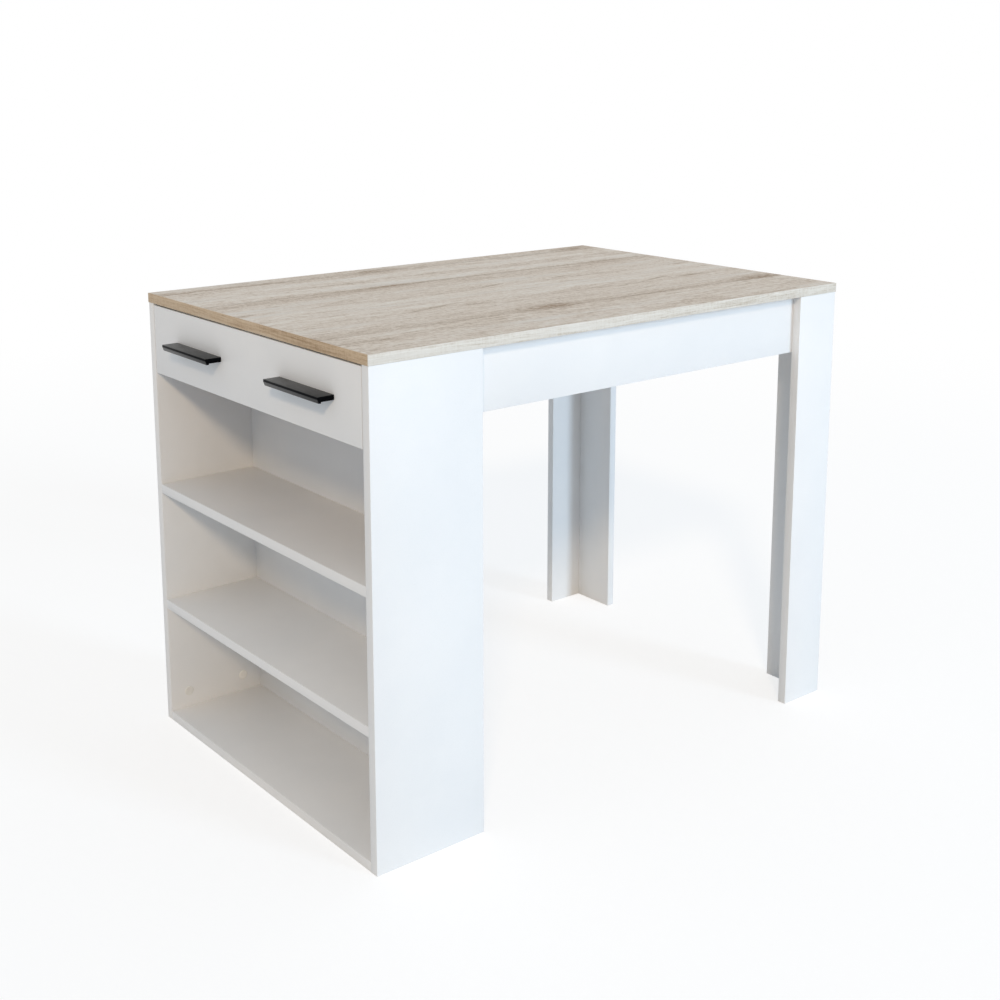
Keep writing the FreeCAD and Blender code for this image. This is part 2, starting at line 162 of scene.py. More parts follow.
class Finish:
    """A material, with the means to write it."""

    def __init__(self, name):
        self.material = bpy.data.materials.new(name)
        self.material.use_nodes = True
        self.tree = self.material.node_tree
        self.shader = self.tree.nodes["Principled BSDF"]

    def node(self, kind, settings, values, output=0):
        """Adds a node, sets its own settings first and then the values or links of its sockets."""
        made = self.tree.nodes.new("ShaderNode" + kind)
        for name, setting in settings.items():
            if name == "stops":
                self.set_stops(made.color_ramp, setting)
            else:
                setattr(made, name, setting)
        for name, value in values.items():
            self.put(made.inputs[name], value)
        return Tone(self, made.outputs[output])

    def set_stops(self, ramp, stops):
        while len(ramp.elements) < len(stops):
            ramp.elements.new(1)
        for element, (place, colour) in zip(ramp.elements, stops):
            element.position = place
            element.color = (*colour, 1)

    def put(self, socket, value):
        if isinstance(value, Tone):
            self.tree.links.new(value.socket, socket)
        elif isinstance(value, tuple) and socket.type == "RGBA":
            socket.default_value = (*value, 1)
        else:
            socket.default_value = value

    def place(self):
        """The surface's own X, Y and Z."""
        point = self.node("TexCoord", {}, {}, "Object")
        return [self.node("SeparateXYZ", {}, {0: point}, axis) for axis in range(3)]

    def grain(self, x, y, z, detail=3.0, roughness=0.5, distortion=0.0):
        """Noise from 0 to 1 over the three coordinates."""
        point = self.node("CombineXYZ", {}, {0: x, 1: y, 2: z})
        values = {"Vector": point, "Scale": 1.0, "Detail": detail,
                  "Roughness": roughness, "Distortion": distortion}
        return self.node("TexNoise", {}, values)

    def ramp(self, tone, stops):
        return self.node("ValToRGB", {"stops": stops}, {0: tone})

    def blend(self, share, first, second):
        """Mixes two colours."""
        settings = {"data_type": "RGBA", "blend_type": "MIX", "clamp_factor": True}
        return self.node("Mix", settings, {0: share, 6: first, 7: second}, 2)

    def bump(self, height, depth, strength=1.0):
        """Raises the surface by the height, in steps of the depth."""
        values = {"Height": height, "Distance": depth, "Strength": strength}
        self.put(self.shader.inputs["Normal"], self.node("Bump", {}, values))

    def surface(self, **values):
        """Sets the shader's own sockets: base_color is Base Color, and so on."""
        for name, value in values.items():
            self.put(self.shader.inputs[name.replace("_", " ").title().replace("Ior", "IOR")], value)
        return self.material


def linear(red, green, blue):
    """Colour as the shaders take it, from the screen's 0 to 255."""
    return tuple(((part / 255 + 0.055) / 1.055) ** 2.4 for part in (red, green, blue))


# Printed oak of the top. Its picture comes again every half metre, and its strips darken towards a joint.
print_length = 0.5
print_start = -0.435
strip_shift = 3.7

# Joints: place across the grain, and the side that darkens
strip_joints = ((0.285, 1), (0.141, -1), (-0.212, 1))
joint_reach = 0.020

# Knots: place along and across the grain, and size. They are drawn out along it, in rings.
knots = ((-0.040, 0.303, 0.017), (-0.125, 0.138, 0.015), (-0.040, -0.196, 0.019))
knot_along_share = 0.34
rings_per_metre = 120.0

# Thin dark lines: start and end, each along and across the grain
dark_lines = ((-0.268, -0.109, -0.143, -0.080), (-0.158, -0.100, -0.080, -0.107),
              (-0.049, 0.012, 0.060, 0.036), (-0.352, 0.028, -0.286, 0.034),
              (-0.380, -0.020, -0.300, -0.012))
dark_line_width = 0.0030
dark_line_fade = 0.03

# Pale bands: middle and width, across the grain
pale_bands = ((-0.006, 0.014), (-0.060, 0.016), (0.172, 0.014), (0.232, 0.018))


def oak_figure(finish, along, across, seed, closeness, printed):
    """Grain of the printed oak: broken streaks, short flecks, pores and saw marks.

    The top's own print adds joints, knots, thin dark lines and pale bands at their places."""
    strip = seed
    if printed:
        for joint, _ in strip_joints:
            strip = (across > joint) * strip_shift + strip
    slow = finish.grain(along * 2.0, across * 6.0, strip) - 0.5
    line = (across + slow * 0.020) * closeness
    wide = finish.grain(along * 1.8, line * 24.0, strip, 3.0, 0.55) - 0.5
    patch = finish.grain(along * 6.0, line * 42.0, strip + 4.0, 3.0, 0.6) - 0.5
    streak = finish.grain(along * 12.0, line * 150.0, strip + 8.0, 3.0, 0.65) - 0.5
    fleck = finish.grain(along * 62.0, line * 150.0, strip + 12.0, 3.0, 0.7) - 0.5
    fibre = finish.grain(along * 70.0, line * 900.0, strip + 16.0, 3.0, 0.65) - 0.5
    grit = finish.grain(along * 240.0, line * 160.0, strip + 18.0, 2.0, 0.6) - 0.5
    saw = finish.grain(along * 330.0, across * 45.0, strip + 20.0, 2.0, 0.6) - 0.5
    pore = finish.grain(along * 55.0, line * 1300.0, strip + 24.0, 2.0, 0.5).step(0.58, 0.70)
    contour = finish.grain(along * 3.2, line * 16.0, strip + 28.0, 2.0, 0.45)
    vein = (contour * 8.0).sway(1.0).step(0.86, 1.0) * (patch * 6.0).step(0.0, 1.0)
    if printed:
        shade = streak * 0.72 + fleck * 0.68 + grit * 0.48
    else:
        shade = streak * 1.10 + fleck * 0.40 + grit * 0.30
    shade = wide * 0.40 + patch * 0.40 + fibre * 0.30 + saw * 0.30 + shade
    shade = shade + 0.5 - vein * 0.12 - pore * 0.08
    if printed:
        here = finish.node("Math", {"operation": "WRAP"},
                           {0: along, 1: print_start + print_length, 2: print_start})
        broken = (patch * 1.6 + streak * 1.2 + 0.55).step(0.0, 1.0)
        for joint, side in strip_joints:
            beyond = (across - joint) * side
            dusk = (beyond > 0.0) * math.e ** (beyond * (-1 / joint_reach))
            shade = shade - dusk * (broken * 0.36 + 0.04)
        for knot_along, knot_across, size in knots:
            beside = (here - knot_along) * knot_along_share
            above = line - knot_across
            reach = (beside * beside + above * above).root()
            near = math.e ** (reach * reach * (-1 / size ** 2))
            rings = (reach * rings_per_metre + patch * 3.0).sway(1.0)
            shade = shade - near * (rings * 0.30 + broken * 0.30 - 0.10)
        for start_along, start_across, end_along, end_across in dark_lines:
            slope = (end_across - start_across) / (end_along - start_along)
            off = across + patch * 0.016 - start_across - (here - start_along) * slope
            ends = (here.step(start_along, start_along + dark_line_fade)
                    * here.step(end_along, end_along - dark_line_fade))
            shade = shade - math.e ** (off * off * (-1 / dark_line_width ** 2)) * ends * 0.24
        for band_middle, width in pale_bands:
            off = (line - band_middle) * (1 / width)
            shade = shade + math.e ** (off * off * -1.0) * 0.10
    relief = fibre * 0.8 + fleck * 0.4 - pore * 0.7 + saw * 0.5
    return shade, relief, wide * 1.4 + patch


def oak(name, axes, seed, closeness, dark, medium, light, printed=False):
    """Satin printed oak: a decor foil with the pores pressed into it, its grain along the first axis."""
    finish = Finish(name)
    place = finish.place()
    shade, relief, silver = oak_figure(finish, place[axes[0]], place[axes[1]], seed, closeness, printed)
    colour = finish.ramp(shade, ((0.05, dark), (0.48, medium), (0.88, light)))
    grey = finish.blend(0.45, colour, linear(211, 206, 199))
    colour = finish.blend((silver * 2.2 + 0.02).step(0.0, 1.0), colour, grey)
    finish.bump(relief, 0.05 * MM, 0.5)
    return finish.surface(base_color=colour, roughness=0.50 + (1 - shade) * 0.16, specular_ior_level=0.35)


def white_board(name, gloss, speckle):
    """White melamine: a fine pearl under a satin skin, hardly clouded."""
    finish = Finish(name)
    x, y, z = finish.place()
    cloud = finish.grain(x * 5.0, y * 5.0, z * 5.0, 4.0, 0.6)
    pearl = finish.grain(x * 900.0, y * 900.0, z * 900.0, 2.0, 0.5)
    colour = finish.blend(cloud.step(0.3, 0.75), linear(233, 234, 235), linear(238, 238, 238))
    colour = finish.blend(pearl.step(0.58, 0.78) * speckle, colour, linear(214, 214, 212))
    finish.bump(pearl, 0.03 * MM, 0.35)
    return finish.surface(base_color=colour, roughness=gloss + cloud * 0.12 + pearl * 0.05,
                          specular_ior_level=0.35)


def hardboard():
    """Pressed fibre, brown with darker and lighter fibres."""
    finish = Finish("hardboard_back")
    x, y, z = finish.place()
    fibre = finish.grain(x * 260.0, y * 340.0, z * 300.0, 4.0, 0.65, 0.6)
    cloud = finish.grain(x * 9.0, y * 9.0, z * 9.0)
    colour = finish.ramp(fibre * 0.7 + cloud * 0.3, ((0.3, linear(104, 76, 52)), (0.5, linear(141, 108, 78)),
                                                     (0.72, linear(170, 138, 104))))
    finish.bump(fibre, 0.12 * MM, 0.6)
    return finish.surface(base_color=colour, roughness=0.75 + fibre * 0.15)


def black_metal(name, dark, light, sheen):
    """Black anodised bar, brushed along its length."""
    finish = Finish(name)
    x, y, z = finish.place()
    brushed = finish.grain(x * 2600.0, y * 26.0, z * 2600.0, 3.0, 0.6)
    speck = finish.grain(x * 900.0, y * 700.0, z * 900.0, 2.0, 0.5)
    colour = finish.ramp(brushed * 0.6 + speck * 0.4, ((0.30, dark), (0.72, light)))
    finish.bump(brushed * 0.6 + speck * 0.4, 0.02 * MM, 0.5)
    return finish.surface(base_color=colour, roughness=0.24 + brushed * 0.14, specular_ior_level=sheen)


def metal(name, dull, bright, roughness, scale, drawn=1.0):
    """Bare or plated metal with a blotchy skin and fine scratches, both drawn out along X by a factor."""
    finish = Finish(name)
    x, y, z = finish.place()
    blotch = finish.grain(x * (scale / drawn), y * scale, z * scale, 4.0, 0.6)
    scratch = finish.grain(x * (scale / drawn), y * (scale * 12.0), z * (scale * 12.0), 2.0, 0.5)
    colour = finish.blend((blotch * 0.7 + scratch * 0.3).step(0.3, 0.7), dull, bright)
    finish.bump(blotch * 0.3 + scratch * 0.7, 0.01 * MM, 0.35)
    return finish.surface(base_color=colour, metallic=1.0,
                          roughness=roughness + blotch * 0.08 + scratch * 0.08)


def white_plastic():
    """Moulded white cap, faintly grained."""
    finish = Finish("moulded_white")
    x, y, z = finish.place()
    grain = finish.grain(x * 1400.0, y * 1400.0, z * 1400.0, 2.0, 0.5)
    cloud = finish.grain(x * 60.0, y * 60.0, z * 60.0)
    colour = finish.blend(cloud.step(0.35, 0.7), linear(228, 226, 221), linear(236, 235, 231))
    finish.bump(grain, 0.02 * MM, 0.4)
    return finish.surface(base_color=colour, roughness=0.30 + grain * 0.12, specular_ior_level=0.5)


def beech():
    """Turned beech with short dark flecks."""
    finish = Finish("beech_pin")
    x, y, z = finish.place()
    flow = finish.grain(x * 120.0, y * 120.0, z * 120.0, 3.0, 0.6)
    fleck = finish.grain(x * 700.0, y * 240.0, z * 700.0, 2.0, 0.5).step(0.58, 0.72)
    colour = finish.blend(flow.step(0.3, 0.7), linear(203, 164, 120), linear(221, 187, 146))
    colour = finish.blend(fleck * 0.5, colour, linear(150, 108, 72))
    finish.bump(flow - fleck * 0.5, 0.05 * MM, 0.5)
    return finish.surface(base_color=colour, roughness=0.58 + flow * 0.12)


finishes = {
    "oak": oak("oak_decor_top", (0, 1), 1.3, 1.0, linear(152, 129, 105), linear(215, 202, 187),
               linear(236, 231, 222), printed=True),
    # The two edge bands are one decor, coloured apart as painted light: the long side's band paler and
    # greyer, as where the cool key falls on it
    "oak_long_painted_light": oak("oak_band_long_painted_light", (0, 2), 5.1, 2.6, linear(172, 158, 138), linear(215, 209, 199),
                    linear(231, 228, 221)),
    # The short end's band darker and browner: painted shade, with the warmth of the front lamp painted in
    "oak_short_painted_shade": oak("oak_band_short_painted_shade", (1, 2), 8.4, 2.6, linear(150, 122, 92), linear(201, 178, 149),
                     linear(216, 198, 172)),
    "white": white_board("white_board_face", 0.36, 0.25),
    "white_edge": white_board("white_board_edge", 0.30, 0.1),
    "fibre": hardboard(),
    "black": black_metal("black_anodised", linear(8, 9, 10), linear(20, 21, 23), 0.26),
    # Darker copy of the black with almost no sheen for the handles' upright faces: painted shade, standing
    # in for the dark surroundings they reflect
    "black_painted_shade_upright": black_metal("black_anodised_painted_shade", linear(5, 6, 9), linear(15, 17, 21), 0.02),
    # Lighter copy of the black for the handles' slanted lower faces: a painted reflection of the bright
    # floor
    "black_painted_reflection_slanted": black_metal("black_anodised_painted_reflection", linear(16, 17, 18), linear(38, 39, 41), 0.22),
    "cast_zinc": metal("cast_zinc", linear(150, 150, 148), linear(186, 187, 187), 0.34, 420.0),
    "plated": metal("zinc_plated", linear(182, 184, 186), linear(208, 210, 212), 0.24, 260.0),
    "rolled": metal("zinc_plated_strip", linear(190, 192, 195), linear(208, 210, 213), 0.24, 180.0, 24.0),
    "ball_steel": metal("ball_steel", linear(196, 198, 202), linear(214, 216, 219), 0.06, 300.0),
    "plastic": white_plastic(),
    "beech": beech(),
}


def hold(*pieces):
    """Selects these pieces and nothing else, with the first one active."""
    bpy.ops.object.select_all(action="DESELECT")
    for piece in pieces:
        piece.select_set(True)
    bpy.context.view_layer.objects.active = pieces[0]


def block(name, low, high):
    """A box to model from, between two opposite corners."""
    bpy.ops.object.select_all(action="DESELECT")
    bpy.ops.mesh.primitive_cube_add(size=1, location=(low + high) / 2, scale=high - low)
    bpy.ops.object.transform_apply(location=True, rotation=True, scale=True)
    piece = bpy.context.object
    piece.name = name
    return piece


def disc(name, radius, sides):
    """A flat round face at the origin, facing +Z, with the face open for editing."""
    bpy.ops.object.select_all(action="DESELECT")
    bpy.ops.mesh.primitive_circle_add(vertices=sides, radius=radius, fill_type="NGON")
    piece = bpy.context.object
    piece.name = name
    open_piece(piece)
    bpy.ops.mesh.select_all(action="SELECT")
    return piece


def open_piece(piece):
    """Puts a piece alone in edit mode."""
    hold(piece)
    bpy.ops.object.mode_set(mode="EDIT")


def close_piece():
    """Back to object mode, with double points welded and faces that point outwards."""
    bpy.ops.mesh.select_all(action="SELECT")
    bpy.ops.mesh.remove_doubles(threshold=weld_reach)
    bpy.ops.mesh.normals_make_consistent(inside=False)
    bpy.ops.object.mode_set(mode="OBJECT")


def pick(piece, kind, test):
    """Selects the edges or faces of the open piece that pass a test, and nothing else."""
    bpy.ops.mesh.select_mode(type=kind)
    bpy.ops.mesh.select_all(action="DESELECT")
    mesh = bmesh.from_edit_mesh(piece.data)
    for item in (mesh.edges if kind == "EDGE" else mesh.faces):
        item.select_set(test(item))
    mesh.select_flush_mode()
    bmesh.update_edit_mesh(piece.data)


def middle(item):
    return sum((corner.co for corner in item.verts), Vector()) / len(item.verts)


def looks_down(face):
    return face.normal.z < -0.5


def turned(name, steps, sides):
    """A round part through (height, radius) steps, drawn out of a disc one step at a time."""
    height, radius = steps[0]
    piece = disc(name, radius, sides)
    bpy.ops.transform.translate(value=(0, 0, height))
    for next_height, next_radius in steps[1:]:
        share = next_radius / radius
        bpy.ops.mesh.extrude_region_move(TRANSFORM_OT_translate={"value": (0, 0, next_height - height)})
        bpy.ops.transform.resize(value=(share, share, 1), center_override=(0, 0, 0))
        height, radius = next_height, next_radius
    close_piece()
    return piece


def apply_all(piece):
    """Applies every modifier of a piece."""
    hold(piece)
    for change in list(piece.modifiers):
        bpy.ops.object.modifier_apply(modifier=change.name)


def cut(piece, cutters):
    """Takes the cutters' shapes out of a piece, one after the other."""
    for cutter in cutters:
        change = piece.modifiers.new("cut", "BOOLEAN")
        change.operation = "DIFFERENCE"
        change.solver = "EXACT"
        change.object = cutter
        apply_all(piece)
        bpy.data.objects.remove(cutter)


def rounded(piece, width, steps=round_steps, angle=round_angle):
    """Rounds every edge that is sharper than the angle."""
    change = piece.modifiers.new("round", "BEVEL")
    change.width = width
    change.segments = steps
    change.limit_method = "ANGLE"
    change.angle_limit = angle
    change.harden_normals = False
    apply_all(piece)


def joined(name, pieces):
    """The pieces as one, under a new name."""
    hold(*pieces)
    if len(pieces) > 1:
        bpy.ops.object.join()
    whole = bpy.context.object
    whole.name = name
    return whole


def copies(name, part, places):
    """Copies of a part, each turned from +Z to its own direction, joined as one piece."""
    made = []
    for start, direction, turn in places:
        copy = part.copy()
        copy.data = part.data.copy()
        bpy.context.scene.collection.objects.link(copy)
        aim = direction.to_track_quat("Z", "Y").to_matrix().to_4x4()
        copy.matrix_world = Matrix.Translation(start) @ aim @ Matrix.Rotation(turn, 4, "Z")
        made.append(copy)
    hold(*made)
    bpy.ops.object.transform_apply(location=True, rotation=True, scale=True)
    bpy.data.objects.remove(part)
    return joined(name, made)


def places_of(ends, first_turn=0, next_turn=0):
    """Start, direction and turn of each part. Each is turned further than the last, in degrees."""
    return [(start, direction, math.radians(first_turn + next_turn * number))
            for number, (start, direction, *_) in enumerate(ends)]


def dress(piece, body, slot, material, *nodes):
    """Gives a finished piece its material and body, in the place of the nodes it stands for. The slot is not
    used.
    """
    hold(piece)
    bpy.ops.object.shade_smooth_by_angle(angle=smooth_angle)
    piece.data.materials.clear()
    piece.data.materials.append(finishes[material])
    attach(piece, body)
    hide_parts(*nodes)


def second_finish(piece, material, test):
    """Gives another finish to the faces that pass a test."""
    piece.data.materials.append(finishes[material])
    last = len(piece.data.materials) - 1
    for face in piece.data.polygons:
        if test(face):
            face.material_index = last


def solids(node):
    """The corner points of each separate solid in a node, in the order of the solids' middles."""
    mesh = bmesh.new()
    mesh.from_mesh(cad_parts[node].data)
    bmesh.ops.remove_doubles(mesh, verts=mesh.verts, dist=weld_reach)
    left = set(mesh.verts)
    groups = []
    while left:
        group = [left.pop()]
        for vertex in group:
            for edge in vertex.link_edges:
                other = edge.other_vert(vertex)
                if other in left:
                    left.discard(other)
                    group.append(other)
        groups.append([vertex.co.copy() for vertex in group])
    mesh.free()

    def order(group):
        mean = sum(group, Vector()) / len(group)
        return tuple(round(part, 5) for part in mean)

    return sorted(groups, key=order)


def box_of(points):
    low = Vector([min(point[axis] for point in points) for axis in range(3)])
    high = Vector([max(point[axis] for point in points) for axis in range(3)])
    return low, high


def unit(axis, sign):
    return (X, Y, Z)[axis] * sign


def screw_places(node, axis=None):
    """Head end, direction, head radius, shank radius and length of each screw, bolt, dowel or cap."""
    found = []
    for points in solids(node):
        low, high = box_of(points)
        size = high - low
        way = max(range(3), key=lambda number: size[number]) if axis is None else axis
        centre = (low + high) / 2
        widths = {}
        for end in (low[way], high[way]):
            ring = [point for point in points if abs(point[way] - end) < level_reach]
            flat = [point - centre - unit(way, 1) * (point - centre)[way] for point in ring]
            widths[end] = max(spoke.length for spoke in flat)
        head = max(widths, key=widths.get)
        sign = 1 if head == low[way] else -1
        start = centre.copy()
        start[way] = head
        found.append((start, unit(way, sign), widths[head], min(widths.values()), size[way]))
    return found


def mouths(node, carriers):
    """Mouth centre, facing direction, radius, depth and carrier of each cam that lies flush in a board."""
    found = []
    reach = MM
    for points in solids(node):
        low, high = box_of(points)
        for carrier in carriers:
            board_low, board_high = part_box(carrier)
            inside = all(board_low[k] - reach < low[k] and high[k] < board_high[k] + reach for k in range(3))
            if not inside:
                continue
            axis = min(range(3), key=lambda number: high[number] - low[number])
            sign = 1 if abs(high[axis] - board_high[axis]) < abs(low[axis] - board_low[axis]) else -1
            centre = (low + high) / 2
            centre[axis] = high[axis] if sign > 0 else low[axis]
            other = (axis + 1) % 3
            found.append((centre, unit(axis, sign), (high - low)[other] / 2, (high - low)[axis], carrier))
    return found


board_nodes = {
    "table": ("cabinet_side_left", "cabinet_side_right", "cabinet_back", "bottom_shelf", "lower_shelf",
              "upper_shelf", "leg_left_side_board", "leg_right_side_board", "leg_left_end_board",
              "leg_right_end_board", "apron_left", "apron_right", "apron_end"),
    "drawer": ("drawer_front", "drawer_side_left", "drawer_side_right", "drawer_back"),
}
cam_nodes = {"shelf_cams": "table", "back_cams": "table", "apron_cams": "table", "drawer_cams": "drawer"}
cams = {node: mouths(node, board_nodes[body]) for node, body in cam_nodes.items()}


def head_pockets():
    """Mouth, facing direction, radius, depth and carrier of each screw head that lies sunk in a board."""
    found = []
    for node, body in (("apron_screws", "table"), ("drawer_back_screws", "drawer")):
        for start, direction, head_radius, _, _ in screw_places(node):
            inside_head = start + direction * head_probe
            for carrier in board_nodes[body]:
                low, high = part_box(carrier)
                if all(low[axis] < inside_head[axis] < high[axis] for axis in range(3)):
                    found.append((start, -direction, head_radius, sunk_head_height, carrier))
    return found


pockets = [mouth for found in cams.values() for mouth in found] + head_pockets()


def pocket_cutter(mouth, facing, radius, depth):
    """Round cutter for the pocket of a cam or a screw's head."""
    bpy.ops.object.select_all(action="DESELECT")
    length = depth + cutter_overrun
    bpy.ops.mesh.primitive_cylinder_add(vertices=fine_sides, radius=radius, depth=length,
                                        location=mouth + facing * (cutter_overrun - length / 2),
                                        rotation=facing.to_track_quat("Z", "Y").to_euler())
    bpy.ops.object.transform_apply(location=True, rotation=True, scale=True)
    return bpy.context.object


def groove_cutter():
    """Cutter for the groove that holds the drawer's bottom."""
    low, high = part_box("drawer_bottom")
    return block("groove", low - groove_play, high + groove_play)


def boards():
    """Every white board: rounded edges with their own finish, cam pockets, and the drawer's grooves."""
    face_slope = 0.95
    for body, nodes in board_nodes.items():
        for node in nodes:
            low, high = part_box(node)
            piece = block(node + "_panel", low, high)
            rounded(piece, board_round)
            cut(piece, [pocket_cutter(mouth, facing, radius + pocket_play, depth)
                        for mouth, facing, radius, depth, carrier in pockets if carrier == node])
            if node.startswith("drawer") and node != "drawer_back":
                cut(piece, [groove_cutter()])
            dress(piece, body, "white_board", "white", node)
            size = high - low
            thin = min(range(3), key=lambda number: size[number])
            second_finish(piece, "white_edge", lambda face: abs(face.normal[thin]) < face_slope)


def drawer_bottom():
    """Hardboard, white above and left brown at its underside and edges."""
    low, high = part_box("drawer_bottom")
    piece = block("drawer_bottom_sheet", low, high)
    rounded(piece, sheet_round)
    dress(piece, "drawer", "white_hardboard", "white", "drawer_bottom")
    second_finish(piece, "fibre", lambda face: face.normal.z < 0.5)


def top():
    """Decor board with flat faces, and bands with a rounded outer edge."""
    low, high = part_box("table_top")
    piece = block("table_top_board", low, high)
    open_piece(piece)
    bpy.ops.mesh.select_all(action="SELECT")
    bpy.ops.mesh.bevel(offset=decor_edge, segments=1, affect="EDGES")
    close_piece()
    dress(piece, "table", "oak_decor", "oak", "table_top")
    # The long bands take the palette with painted light, the short bands the one with painted shade
    for node, across, material in (("top_long_bands", Y, "oak_long_painted_light"), ("top_short_bands", X, "oak_short_painted_shade")):
        strips = []
        for points in solids(node):
            low, high = box_of(points)
            strip = block(node, low, high)
            outwards = across * math.copysign(1, across.dot(low + high))
            edge = max(outwards.dot(low), outwards.dot(high))
            open_piece(strip)
            pick(strip, "EDGE", lambda item: all(abs(corner.co.dot(outwards) - edge) < level_reach
                                                 for corner in item.verts))
            bpy.ops.mesh.bevel(offset=band_round, segments=3, affect="EDGES")
            close_piece()
            strips.append(strip)
        dress(joined(node + "_strips", strips), "table", "oak_edge_band", material, node)


def cross_recess(radius, depth, width):
    """Cutters for a cross slot that narrows as it goes down."""
    floor_shares = (0.35, 0.8, 1)
    arms = []
    for turn in (0, math.pi / 2):
        arm = block("arm", Vector((-radius, -width / 2, -depth)), Vector((radius, width / 2, depth)))
        open_piece(arm)
        pick(arm, "FACE", looks_down)
        bpy.ops.transform.resize(value=floor_shares, center_override=(0, 0, -depth))
        close_piece()
        arm.matrix_world = Matrix.Rotation(turn, 4, "Z")
        bpy.ops.object.transform_apply(location=True, rotation=True, scale=True)
        arms.append(arm)
    return arms


def cam(radius, height):
    """Cast cam: a rimmed face with a cross slot, and a notch beside it that shows the turn."""
    edge = 0.6 * MM
    rim_edge = 0.3 * MM
    rim = radius - 0.9 * MM
    dip = 0.35 * MM
    dip_radius = rim - 0.2 * MM
    hub_foot = radius * 0.62
    hub_edge = radius * 0.58
    steps = ((-height, radius - edge), (edge - height, radius), (-rim_edge, radius), (0, radius - rim_edge),
             (0, rim), (-dip, dip_radius), (-dip, hub_foot), (0, hub_edge))
    body = turned("cam", steps, fine_sides)
    slot_reach = radius * 0.44
    slot_depth = 1.9 * MM
    slot_width = 1.5 * MM
    cut(body, cross_recess(slot_reach, slot_depth, slot_width))
    notch_half = 0.5 * MM
    notch_start = radius * 0.64
    notch_end = radius * 0.98
    notch = block("notch", Vector((-notch_half, notch_start, -dip - notch_half)),
                  Vector((notch_half, notch_end, cutter_overrun)))
    cut(body, [notch])
    return body


def cam_pieces():
    """One cam modelled for each node, copied to every pocket and turned as a fitter leaves it."""
    for node, body in cam_nodes.items():
        _, _, radius, height, _ = cams[node][0]
        places = places_of(cams[node], first_turn=35, next_turn=47)
        dress(copies(node + "_cast", cam(radius, height), places), body, "zinc_alloy", "cast_zinc", node)


def thread(start, pitch, turn_count, root_radius, radius, crest_shares):
    """Steps of a thread: for each turn its root, and the start and end of its flat crest."""
    steps = []
    for number in range(turn_count):
        root = start + number * pitch
        steps.append((root, root_radius))
        steps += [(root + pitch * share, radius) for share in crest_shares]
    return steps


def screw(radius, head_radius, head_height, length, sunk):
    """Wood screw that points along +Z from its head's top: cross slot, threaded shank and point."""
    neck = radius * 0.8
    root_radius = radius * 0.72
    pitch = 1.3 * MM
    threaded_share = 0.62
    crest_shares = (0.45, 0.6)
    turn_count = int((length * threaded_share) / pitch)
    end_length = 2.0 * MM
    point_length = 1.6 * MM
    sunk_rim = 0.3 * MM
    if sunk:
        steps = [(0, head_radius), (sunk_rim, head_radius), (head_height, neck)]
    else:
        steps = [(0, head_radius * 0.55), (head_height * 0.25, head_radius * 0.86),
                 (head_height * 0.6, head_radius), (head_height, head_radius), (head_height, neck)]
    start = length - head_height * (0 if sunk else 1) - turn_count * pitch - end_length
    steps += thread(max(start, head_height + MM), pitch, turn_count, root_radius, radius, crest_shares)
    steps += [(length - point_length, radius * 0.66), (length, radius * 0.12)]
    body = turned("screw", steps, thread_sides)
    slot_reach = head_radius * 0.62
    slot_depth = head_height * 0.6
    slot_width = head_radius * 0.24
    cut(body, cross_recess(slot_reach, slot_depth, slot_width))
    return body


def screws():
    """Screws of each node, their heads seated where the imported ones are."""
    kinds = (("apron_screws", "table", sunk_head_height, True),
             ("bracket_screws", "table", bracket_head_height, False),
             ("cabinet_rail_screws", "table", rail_head_height, True),
             ("drawer_back_screws", "drawer", sunk_head_height, True),
             ("drawer_rail_screws", "drawer", rail_head_height, False),
             ("handle_screws", "drawer", handle_head_height, False))
    for node, body, head_height, sunk in kinds:
        found = screw_places(node)
        _, _, head_radius, radius, length = found[0]
        part = screw(radius, head_radius, head_height, length, sunk)
        places = places_of(found, first_turn=20, next_turn=53)
        dress(copies(node + "_round", part, places), body, "zinc_plated_steel", "plated", node)


def cam_bolts():
    """Threaded pins with a necked head for the cams."""
    head_height = 3.0 * MM
    head_chamfer = 0.7 * MM
    neck_chamfer = 0.6 * MM
    collar_length = 1.4 * MM
    thread_length = 11.0 * MM
    thread_inset = 0.4 * MM
    pitch = 1.5 * MM
    turn_count = 6
    crest_shares = (0.5, 0.62)
    tip = 0.8 * MM
    for node, body in (("shelf_cam_bolts", "table"), ("back_cam_bolts", "table"),
                       ("apron_cam_bolts", "table"), ("drawer_cam_bolts", "drawer")):
        found = screw_places(node)
        _, _, head_radius, radius, length = found[0]
        neck = radius * 0.66
        collar = radius * 1.05
        start = length - thread_length
        steps = [(0, head_radius * 0.7), (head_chamfer, head_radius),
                 (head_height - neck_chamfer, head_radius), (head_height, neck),
                 (start - collar_length, neck), (start - collar_length, collar), (start, collar)]
        steps += thread(start + thread_inset, pitch, turn_count, radius * 0.7, radius, crest_shares)
        steps += [(length - tip, radius * 0.62), (length, radius * 0.3)]
        part = turned("bolt", steps, thread_sides)
        dress(copies(node + "_round", part, places_of(found)), body, "zinc_plated_steel", "plated", node)


def dowels():
    """Fluted beech pins with chamfered ends."""
    tip = 1.2 * MM
    tip_share = 0.72
    flute_share = 0.94
    for node, body in (("shelf_dowels", "table"), ("back_dowels", "table"), ("apron_dowels", "table"),
                       ("leg_dowels", "table"), ("top_dowels", "table"), ("drawer_dowels", "drawer")):
        found = screw_places(node)
        _, _, radius, _, length = found[0]
        part = turned("dowel", ((0, radius * tip_share), (tip, radius), (length - tip, radius),
                                (length, radius * tip_share)), small_sides)
        open_piece(part)
        pick(part, "EDGE", lambda item: item.calc_length() > length / 2 and
             round(math.atan2(middle(item).y, middle(item).x) / math.tau * small_sides) % 2 == 0)
        bpy.ops.transform.resize(value=(flute_share, flute_share, 1), center_override=(0, 0, length / 2))
        close_piece()
        dress(copies(node + "_fluted", part, places_of(found)), body, "beech", "beech", node)


